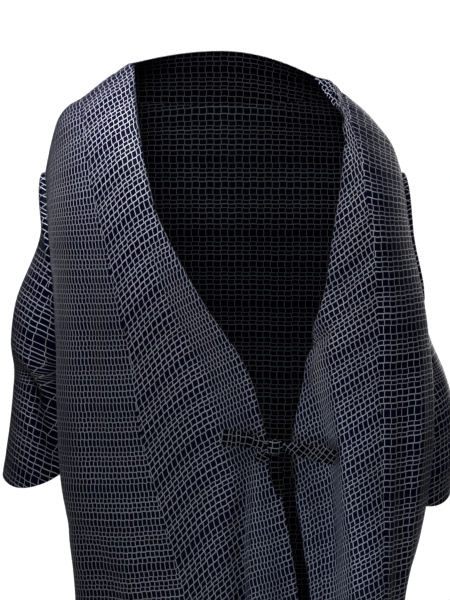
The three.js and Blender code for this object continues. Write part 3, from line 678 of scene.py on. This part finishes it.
def solid_piece(name, points, u, v, fine=1, painted_shade=0):
    """A closed form from rings of points, capped at both ends. fine narrows the lines of its columns,
    and its last argument is how far its colour is darkened as painted shade.
    """
    uv = joined(u, v)
    rows, columns = points.shape[:2]
    faces, index = grid_faces(rows, columns, True)
    size = rows * columns
    vertices = np.concatenate([points.reshape(-1, 3), points[[0, -1]].mean(axis=1)])
    polygons = faces.tolist()
    polygons += [[size, int(p), int(q)] for p, q in zip(index[0][:-1], index[0][1:])]
    polygons += [[size + 1, int(q), int(p)] for p, q in zip(index[-1][:-1], index[-1][1:])]
    middle = points[rows // 2]
    if look_in(points, middle[columns // 2] - middle.mean(axis=0)):
        polygons = [p[::-1] for p in polygons]
    flat = np.concatenate([uv.reshape(-1, 2), uv[[0, -1]].mean(axis=1)])
    corners = np.concatenate(polygons)
    # The inside value carries the band's painted shade, which darkens its colour.
    values = {"line": np.full(size + 2, fine * LINE / 2 / COLUMN), "inside": np.full(size + 2, painted_shade)}
    add_piece(name, vertices, polygons, flat[corners], values, "tie_satin", 60)


def line_width(points, columns):
    """Half the width of a column's line, in columns. Where the cloth is eased in, part of the line is
    in its small folds too, so the line is narrower there."""
    along_r, along_s = np.gradient(points, axis=0), np.gradient(points, axis=1)
    u_r, u_s = np.gradient(columns, axis=0), np.gradient(columns, axis=1)
    e, f, g = (along_s ** 2).sum(-1), (along_s * along_r).sum(-1), (along_r ** 2).sum(-1)
    steep = np.sqrt(np.abs(g * u_s ** 2 - 2 * f * u_s * u_r + e * u_r ** 2)
                    / np.maximum(e * g - f * f, 1e-6))
    return np.clip((steep * LINE / 2) ** 0.72 * (LINE / 2 / COLUMN) ** 0.28, 0, 0.3)


BORDERS = {"first": (np.s_[:, 0], np.s_[:, 1]), "last": (np.s_[:, -1], np.s_[:, -2]),
           "top": (np.s_[0], np.s_[1]), "bottom": (np.s_[-1], np.s_[-2])}


def sewn(points, borders):
    """Draws the named borders of a grid back by half the seam gap."""
    points = points.copy()
    for border in borders:
        edge, inside = BORDERS[border]
        points[edge] += unit(points[inside] - points[edge]) * SEAM_GAP / 2
    return points


# How the columns lean on the front: z, degrees from upright.
PANEL_LEAN = {
    "right": [(0, 14), (-250, 15), (-400, 18), (-600, 12), (HEM_Z, 8)],
    "left": [(0, 26), (-200, 25), (-400, 15), (-600, 12), (HEM_Z, 8)],
}
BODY_LEAN = {
    "right": [(0, 0), (-150, 3), (-260, 10), (-600, 9), (HEM_Z, 3)],
    "left": [(0, 0), (HEM_Z, 0)],
}
# How the rows rise from the panel's seam toward its edge: distance, degrees.
PANEL_RISE = {
    "right": [(0, 40), (30, 38), (50, 31), (70, 20), (130, 7)],
    "left": [(0, 30), (40, 34), (100, 34)],
}
# Columns are closer than COLUMN where the cloth is eased in: z, share.
CLOSER = {
    "front_panel_right": [(0, 1.3), (-250, 1.25), (-330, 1.3), (HEM_Z, 1.3)],
    "front_panel_left": [(0, 1.2), (-260, 1.25), (-340, 1.5), (HEM_Z, 1.5)],
    "body_front_right": [(0, 1.9), (-300, 2.0), (-420, 1.9), (-560, 1.7), (HEM_Z, 1.5)],
    "body_front_left": [(0, 0.75), (-300, 0.85), (-500, 1), (HEM_Z, 1.1)],
}
# Small folds take up cloth in the panels: how much, where across the panel and how far down. On the
# right they begin at a share of its width, on the left past a line given as (down, reach).
EASED = {
    "right": {"cloth": 38, "from": 0.58, "top": 170, "fade": 120},
    "left": {"cloth": 30, "more": 0.4, "middle": ([300, 400, 520, 1285], [70, 62, 50, 46]),
             "wide": 28, "top": 260, "fade": 90},
}
SHOULDER_RISE = {"right": 0.45, "left": 0.3}


def piecewise(stops, at):
    """Values between stops of (place, value), in any order."""
    order = sorted(stops)
    return np.interp(at, [s[0] for s in order], [s[1] for s in order])


def run_up(stops, at):
    """The integral of tan(angle) from 0 to at."""
    order = sorted(stops)
    fine = np.linspace(order[0][0] - 60, order[-1][0] + 60, 600)
    slope = np.tan(np.radians(piecewise(stops, fine)))
    total = np.concatenate([[0], np.cumsum((slope[1:] + slope[:-1]) / 2 * np.diff(fine))])
    total -= np.interp(0, fine, total)
    return np.interp(at, fine, total)


def eased_in(half, reach, down):
    """Extra columns of a front panel where its cloth falls in small folds, in millimetres of cloth."""
    look = EASED[half.side["name"]]
    below = smooth((down - look["top"]) / look["fade"])
    if half.side["name"] == "right":
        wide = (half.across[:, half.at(SEAM)] - half.across[:, half.at(EDGE)])[:, None]
        return look["cloth"] * smooth((reach / wide - look["from"]) / (1 - look["from"])) * below
    past = reach - np.interp(down, *look["middle"])
    cloth = look["cloth"] * smooth(past / look["wide"] + 0.5) + look["more"] * np.maximum(past, 0)
    return cloth * below


def front_threads(half, piece, columns):
    """Check coordinates on a stretch of the front."""
    name, out, seam = half.side["name"], half.side["out"], half.at(SEAM)
    seam_x = half.points[:, [seam], 0]
    reach = half.across - half.across[:, [seam]]
    x = (seam_x + out * reach)[:, columns]
    down = half.down[:, columns]
    closer = piecewise(CLOSER[piece], -down)
    if piece.startswith("front_panel"):
        reach = np.abs(x - seam_x)
        cloth = reach * closer + eased_in(half, reach, down)
        u = seam_x + run_up(PANEL_LEAN[name], -down) - out * cloth
        v = down - out * run_up(PANEL_RISE[name], reach)
    else:
        anchor = seam_x.mean()
        u = anchor + (x - anchor + run_up(BODY_LEAN[name], -down)) * closer
        # The rows follow the shoulder down at the top, and hang level below it.
        v = down - out * (x - seam_x) * SHOULDER_RISE[name] * smooth((220 - down) / 160)
    return u / COLUMN, v / ROW_REPEAT


def body_stretch(half, name, low, high, borders):
    columns = slice(half.at(low), half.at(high) + 1)
    if half.name == "front":
        u, v = front_threads(half, name, columns)
    else:
        reach = half.across[:, [-1]] - half.across
        u = (reach * half.side["out"])[:, columns] / COLUMN
        v = half.down[:, columns] / ROW_REPEAT
    cloth_piece(name, half.points[:, columns], half.out[:, columns], u, v, borders)


# ---- materials ----

def srgb(r, g, b):
    """A colour given as it looks, 0 to 255, in the linear values of a shader."""
    def one(c):
        c /= 255
        return c / 12.92 if c <= 0.04045 else ((c + 0.055) / 1.055) ** 2.4
    return (one(r), one(g), one(b), 1)


class Nodes:
    """A short hand for building a node tree."""

    def __init__(self, tree):
        self.tree = tree
        tree.nodes.clear()

    def new(self, kind, inputs=None, **settings):
        node = self.tree.nodes.new(kind)
        for key, value in settings.items():
            setattr(node, key, value)
        for key, value in (inputs or {}).items():
            if isinstance(value, bpy.types.NodeSocket):
                self.tree.links.new(value, node.inputs[key])
            else:
                node.inputs[key].default_value = value
        return node

    def out(self, kind, inputs=None, **settings):
        return self.new(kind, inputs, **settings).outputs[0]

    def math(self, operation, *values):
        return self.out("ShaderNodeMath", dict(enumerate(values)), operation=operation)

    def times(self, *values):
        return self.math("MULTIPLY", *values)

    def ramp(self, value, start, end, low, high, kind="LINEAR"):
        """low where the value is start, and high where it is end."""
        inputs = {"Value": value, "From Min": start, "From Max": end, "To Min": low, "To Max": high}
        return self.out("ShaderNodeMapRange", inputs, interpolation_type=kind)

    def blend(self, kind, share, a, b):
        node = self.new("ShaderNodeMix", {0: share, 6: a, 7: b}, data_type="RGBA", blend_type=kind)
        return node.outputs[2]

    def attribute(self, name):
        return self.new("ShaderNodeAttribute", attribute_name=name).outputs["Fac"]

    def chart(self, v, stops):
        """White or black by height: stops are (share of a repeat, 1 where it is white from there)."""
        node = self.new("ShaderNodeValToRGB", {0: self.math("FRACT", v)})
        node.color_ramp.interpolation = "CONSTANT"
        elements = node.color_ramp.elements
        for k, (height, white) in enumerate(stops):
            element = elements[k] if k < 2 else elements.new(height)
            element.position = height
            element.color = (white, white, white, 1)
        return node.outputs[0]


def new_material(name):
    material = bpy.data.materials.new(name)
    material.use_nodes = True
    return material, Nodes(material.node_tree)


def satin(name, ground, thread, roughness, gloss):
    material, nodes = new_material(name)
    cloth = nodes.out("ShaderNodeUVMap", uv_map="cloth")
    parts = nodes.new("ShaderNodeSeparateXYZ", {0: cloth})
    u, v = parts.outputs[0], parts.outputs[1]
    half = nodes.attribute("line")

    # The columns shift a little from row to row and the rows from column to column.
    heights = [sum(ROW_GAPS[:k]) / ROW_REPEAT for k in range(len(ROW_GAPS))]
    by_turns = nodes.chart(v, [(height, k % 2) for k, height in enumerate(heights)])
    from_row = nodes.math("SUBTRACT", by_turns, 0.5)
    from_column = nodes.math("SUBTRACT", nodes.math("PINGPONG", nodes.math("ADD", u, 0.5), 1.0), 0.5)
    u = nodes.math("ADD", u, nodes.times(from_row, nodes.times(half, SHIFT["column"])))
    v = nodes.math("ADD", v, nodes.times(from_column, SHIFT["row"]))

    column = nodes.ramp(nodes.math("PINGPONG", u, 0.5), nodes.times(half, 0.85),
                        nodes.times(half, 1.15), 1.0, 0.0, "SMOOTHSTEP")
    thin = LINE / 2 / ROW_REPEAT
    lines = [(0, 1), (thin, 0)]
    for height in heights[1:]:
        lines += [(height - thin, 1), (height + thin, 0)]
    # Rows break up where the columns are eased together.
    row = nodes.times(nodes.chart(v, lines + [(1 - thin, 1)]), nodes.ramp(half, *BROKEN_ROWS))
    either = nodes.math("MAXIMUM", column, row)
    both = nodes.times(nodes.times(column, row), 0.45)
    pale = nodes.times(either, nodes.math("SUBTRACT", 1.0, both))

    # Uneven dye and thread: slow blotches, and fine slubs along the rows.
    place = nodes.new("ShaderNodeTexCoord").outputs["Object"]
    blotch = nodes.out("ShaderNodeTexNoise", {"Vector": place, "Scale": 14.0, "Detail": 3.0})
    slub_at = nodes.out("ShaderNodeVectorMath", {0: cloth, 1: (3.0, 160.0, 1.0)}, operation="MULTIPLY")
    slub = nodes.out("ShaderNodeTexNoise", {"Vector": slub_at, "Scale": 1.0, "Detail": 2.0})
    light = nodes.math("ADD", nodes.times(blotch, 0.5), nodes.times(slub, 0.5))
    level = nodes.ramp(light, 0.3, 0.7, 0.8, 1.2)
    grey = nodes.out("ShaderNodeCombineColor", {0: level, 1: level, 2: level})
    dyed = nodes.blend("MULTIPLY", 1.0, ground, grey)
    base = nodes.blend("MIX", pale, dyed, nodes.blend("MULTIPLY", 1.0, thread, grey))
    # Painted shade: where the inside value is set, the colour is darkened by up to 80%, on the coat's
    # inner faces and on the tie bands given painted shade.
    base = nodes.blend("MULTIPLY", nodes.times(nodes.attribute("inside"), 0.8), base, (0, 0, 0, 1))

    # The weave: a fine rib across the rows, and the check's raised threads.
    rib = nodes.math("SINE", nodes.times(u, 2 * math.pi * WEAVE["ribs"]))
    twill = nodes.math("SINE", nodes.times(v, 2 * math.pi * WEAVE["twills"]))
    weave = nodes.times(nodes.times(rib, twill), WEAVE["high"])
    height = nodes.math("ADD", weave, nodes.math("ADD", pale, nodes.times(slub, WEAVE["slubs"])))
    bump = nodes.out("ShaderNodeBump", {"Strength": 0.35, "Distance": 0.00025, "Height": height})
    # The pale threads shine more than the ground.
    shader = nodes.out("ShaderNodeBsdfPrincipled", {
        "Base Color": base, "Roughness": roughness,
        "Specular IOR Level": nodes.ramp(pale, 0.0, 1.0, *gloss), "Normal": bump,
    })
    nodes.new("ShaderNodeOutputMaterial", {"Surface": shader})
    return material


MATERIALS = {
    "coat_satin": satin("coat_satin", srgb(3, 5, 41), srgb(190, 191, 200), 0.34, (0.06, 0.26)),
    # The tie's satin is the coat's check with a near-black ground and dimmer threads: painted shade, as
    # the bow lies in shade.
    "tie_satin": satin("tie_satin", srgb(3, 3, 11), srgb(150, 150, 158), 0.5, (0.03, 0.2)),
}


# ---- the coat ----

def build_sleeve(side, points, leaving, out):
    """A sleeve from the armhole's edge, with the direction that it leaves in, to the cuff."""
    keys = [even_ring(points), even_ring(points + leaving)]
    keys += [sleeve_section(*section) for section in side["sleeve"]]
    rings = curve(keys, spread(SLEEVE_STOPS, len(keys) - 1))
    round_ = np.roll(rings, -1, axis=1) - np.roll(rings, 1, axis=1)
    down = np.gradient(rings, axis=0)
    outward = unit(np.cross(round_, down)) * side["out"]
    outward[0] = unit(even_ring(out))
    name = "sleeve_" + side["name"]
    ahead = np.sin(ring_angles(SLEEVE_ROUND))
    depth = sum(crease_depth(name + face, rings) * np.maximum(0, share) ** 0.5
                for face, share in (("_front", ahead), ("_back", -ahead)))
    fall = lengths(rings, 0)
    depth *= smooth(fall / 25)
    depth += SEAM_LOOK["stitch"] * np.exp(-((fall[-1:] - fall - SEAM_LOOK["hem"]) / 3) ** 2)
    depth += SEAM_LOOK["deep"] * np.exp(-(fall / 3) ** 2) * 0.5
    plain_rings, rings = rings, rings - outward * depth[..., None]
    # The seam runs underneath, so columns are counted both ways from the outer line.
    half = SLEEVE_ROUND // 2
    plain_rings, rings, outward = np.roll([plain_rings, rings, outward], half, axis=2)
    x, y, z = np.moveaxis(plain_rings, -1, 0)
    outer = plain_rings[::-1, half]
    out_x, out_y = (np.interp(z, outer[:, 2], outer[:, c]) for c in (0, 1))
    round_to = np.where(np.arange(SLEEVE_ROUND) < half, -1, 1)
    slope = math.tan(math.radians(SLEEVE_CHECK["slope"]))
    below = smooth((SLEEVE_CHECK["elbow_z"] - z) / 30 + 0.5)
    gathered = SLEEVE_CHECK["elbow"] * below
    u = round_to * np.hypot(x - out_x, (y - out_y) * SLEEVE_CHECK["deep"]) / COLUMN
    u *= mix(*SLEEVE_CHECK["closer"], below)
    v = (-z + side["out"] * (x - out_x) * slope + gathered) / ROW_REPEAT
    cloth_piece(name, rings, outward, u, v, ["top"], SLEEVE_CHECK["fine"], tube=True)


def build_collar():
    arc = spread(BACK_STOPS, CENTRE)
    arc = arc[arc >= COLLAR_STATION]
    walk = [(SIDES["right"], s) for s in arc] + [(SIDES["left"], s) for s in arc[-2::-1]]
    seam = np.stack([top_point(side, s) for side, s in walk])
    edge = np.stack([neck_line(side, s, 0, COLLAR_EDGE) for side, s in walk])
    f = np.linspace(0, 1, COLLAR_ROWS + 1)[:, None, None]
    crown = COLLAR_CROWN * np.sin(np.pi * f) * seam[None, :, 1:2] / COLLAR_SEAM["depth"]
    points = mix(edge, seam, f) + np.array([0, 0, 1]) * crown
    along_band = np.gradient(points, axis=1)
    along_band[:, [0, -1], 1:] = 0
    out = unit(np.cross(np.gradient(points, axis=0), along_band))
    out *= np.sign(out[COLLAR_ROWS // 2, len(walk) // 2, 2])
    out[-1] = [top_out(side, s) for side, s in walk]
    u = points[..., 0] / COLUMN
    v = lengths(points, 0) / ROW_REPEAT
    cloth_piece("collar", points, out, u, v, ["first", "last", "bottom"])


# The tie: flat bands of folded cloth. First the turn of the check, its thickness, how much closer the
# check is, the share of its lines' width and its painted shade; on the long tail and the left strap the
# narrower lines and the painted shade darken them as if they lay in shade. Then its stops: middle x, y,
# z and half its width.
TIE_BANDS = {
    "tie_loop_right": [
        (0, 3.4, 1.2, 1, 0),
        (49.4, -150, -410.8, 3.6), (44, -152, -409, 4.6), (36, -153.5, -406, 6.8),
        (24, -152, -403, 8), (11, -149.5, -402, 8.4), (1, -148, -400.5, 8.6),
    ],
    "tie_loop_left": [
        (28, 3.6, 1.4, 1, 0),
        (66.4, -150, -411, 3.6), (74, -152.5, -411.5, 5), (84, -154, -414, 7.2),
        (97, -153.5, -417, 8.2), (111, -153, -420, 8.6), (123, -151.5, -422.5, 8.2),
    ],
    "tie_tail_long": [
        (4, 2.4, 1.1, 0.6, 0.9),
        (58, -149, -421.3, 5), (58, -148.5, -428, 6.6), (59, -147, -438, 7.2),
        (61, -146, -451, 6), (64, -146, -466, 3.2),
    ],
    "tie_tail_short": [
        (-20, 2.4, 1.3, 1, 0),
        (50.8, -147.2, -418.4, 3.2), (45, -145.4, -422.5, 4.5), (38.5, -143.8, -428.5, 4.6),
    ],
    "tie_strap_left": [
        (10, 2.4, 1, 0.8, 0.4),
        (65, -144.6, -414, 4), (72, -137.5, -416, 6), (82, -128.5, -417.5, 6.5),
    ],
}
KNOT = {"centre": (58, -148.5, -412), "radii": (8.2, 6.6, 8.8)}
BAND_STEPS, BAND_ROUND = 56, 40
KNOT_STEPS, KNOT_ROUND = 30, 48


def tie_band(name):
    """A band folded flat: a flattened tube along its stops, gathered at the knot, with a cut end."""
    (turned, thick, closer, fine, painted_shade), *stops = TIE_BANDS[name]
    path = curve(stops, np.linspace(0, len(stops) - 1, BAND_STEPS))
    middle, half = path[:, :3], path[:, 3:]
    along = unit(np.gradient(middle, axis=0))
    across = unit(joined(-along[:, 2], np.zeros(BAND_STEPS), along[:, 0]))
    front = unit(np.cross(along, across))
    front *= -np.sign(front[:, 1:2])
    length = lengths(middle, 0)[:, None]
    ends = np.minimum(length, length[-1] - length)
    blunt = np.sqrt(np.clip(ends / 1.2, 0.02, 1))
    angle = ring_angles(BAND_ROUND)
    cos, sin = np.cos(angle), np.sin(angle)
    share = np.sign(cos) * np.abs(cos) ** 0.55
    wide = share * half
    crown = 1 + 0.25 * np.cos(np.pi * share)
    pleats = 0.7 * np.cos(3 * np.pi * share) * np.exp(-length / 9)
    ripple = 0.5 * np.sin(length / 7.5 + 1.0) * share
    deep = np.sign(sin) * np.abs(sin) ** 0.85 * thick / 2 * crown + (pleats + ripple) * np.abs(sin)
    # The ends are drawn in just enough to close them.
    points = (middle[:, None] + across[:, None] * (wide * (0.9 + 0.1 * blunt))[..., None]
              + front[:, None] * (deep * blunt)[..., None])
    turn = math.radians(turned)
    u = wide * math.cos(turn) + length * math.sin(turn)
    v = length * math.cos(turn) - wide * math.sin(turn)
    solid_piece(name, points, u / COLUMN * closer + 0.5, v / ROW_REPEAT * closer, fine, painted_shade)


def tie_knot():
    """The wrapped middle of the bow: a small barrel of cloth with the wrap's folds running down it."""
    lift = np.linspace(-1, 1, KNOT_STEPS)[:, None] * math.pi / 2
    angle = ring_angles(KNOT_ROUND)
    round_ = np.abs(np.cos(lift)) ** 0.6
    fold = 1 + 0.05 * np.cos(5 * angle + 1.2 * lift) + 0.03 * np.sin(3 * angle - lift)
    cx, cy, cz = KNOT["centre"]
    rx, ry, rz = KNOT["radii"]
    points = joined(cx + rx * round_ * fold * np.cos(angle), cy + ry * round_ * fold * np.sin(angle),
                    cz + rz * np.sin(lift) * (0.97 + 0.03 * np.cos(2 * angle)))
    round_by, up_by = np.broadcast_arrays(angle * rx / COLUMN, lift * rz / ROW_REPEAT)
    solid_piece("tie_knot", points, round_by, up_by)


for side in SIDES.values():
    front, back = build_halves(side)
    armhole = armhole_ring(front, back)
    for half, name, *stretch in [
        (front, "front_panel_", TURN, SEAM, ["last", "top"]),
        (front, "body_front_", SEAM, SIDE, ["first", "last", "top"]),
        (back, "body_back_", SIDE, CENTRE, ["first", "last", "top"]),
    ]:
        body_stretch(half, name + side["name"], *stretch)
    build_sleeve(side, *armhole)
build_collar()
for band in TIE_BANDS:
    tie_band(band)
tie_knot()


# ---- camera, lights and floor ----

def add_camera():
    """The camera stands 2 m off and looks down by 6 degrees, as in the photo."""
    data = bpy.data.cameras.new("camera")
    data.sensor_fit = "HORIZONTAL"
    data.sensor_width = 36
    data.lens = 146.8
    camera = add_object("camera", data)
    camera.location = (0.005, -2.069, -0.053)
    camera.rotation_euler = (math.radians(90 - 6), 0, 0)
    bpy.context.scene.camera = camera


def add_light(name, place, aim, size, power, spread=180, colour=(1, 1, 1)):
    data = bpy.data.lights.new(name, "AREA")
    data.shape = "DISK"
    data.size = size
    data.energy = power
    data.color = colour
    data.spread = math.radians(spread)
    light = add_object(name, data)
    light.location = place
    x, y, z = (a - b for a, b in zip(place, aim))
    light.rotation_euler = (math.atan2(math.hypot(x, y), z), 0, math.atan2(x, -y))


def add_overhead():
    """Soft light from straight above, which the floor takes up and the hanging cloth hardly does."""
    data = bpy.data.lights.new("overhead", "SUN")
    data.energy = 1.5
    data.angle = math.radians(25)
    add_object("overhead", data)


def add_floor():
    mesh = bpy.data.meshes.new("floor")
    reach, level, corners = 2.4, -1.36, 96
    rim = [(reach * math.cos(t), reach * math.sin(t), level) for t in ring_angles(corners)]
    mesh.from_pydata(rim, [], [range(corners)])
    material, nodes = new_material("floor_pale")
    pale = {"Base Color": srgb(246, 246, 248), "Roughness": 0.9}
    shader = nodes.out("ShaderNodeBsdfPrincipled", pale)
    nodes.new("ShaderNodeOutputMaterial", {"Surface": shader})
    mesh.materials.append(material)
    add_object("floor", mesh)


def add_world():
    """White all round to look at, and a dim even light on the cloth."""
    world = bpy.data.worlds.new("studio")
    world.use_nodes = True
    nodes = Nodes(world.node_tree)
    seen = nodes.new("ShaderNodeLightPath").outputs["Is Camera Ray"]
    dim = nodes.out("ShaderNodeBackground", {"Color": (0.93, 0.96, 1.0, 1), "Strength": 0.02})
    white = nodes.out("ShaderNodeBackground", {"Color": (1, 1, 1, 1), "Strength": 1.0})
    either = nodes.out("ShaderNodeMixShader", {0: seen, 1: dim, 2: white})
    nodes.new("ShaderNodeOutputWorld", {"Surface": either})
    bpy.context.scene.world = world


add_camera()
add_light("key", (-0.2, -0.58, 0.42), (-0.14, -0.05, 0.08), 0.35, 2.15, spread=80)
add_light("window", (-1.9, -1.8, -0.75), (0.05, -0.1, -0.5), 0.7, 0.65, colour=(1.0, 0.97, 0.92))
add_light("sheen", (-1.2, -1.75, -0.62), (0.21, -0.1, -0.5), 0.3, 0.15, spread=12,
          colour=(0.72, 0.86, 1.0))
add_light("front", (1.1, -1.1, 0.8), (0.1, 0, -0.2), 0.8, 5.2, colour=(1.0, 0.98, 0.92))
add_light("back", (0.9, 2.7, -0.2), (0, 0, -0.6), 2.2, 30)
add_overhead()
add_floor()
add_world()
view = bpy.context.scene.view_settings
view.view_transform, view.exposure, view.gamma = "Standard", 0.04, 0.8
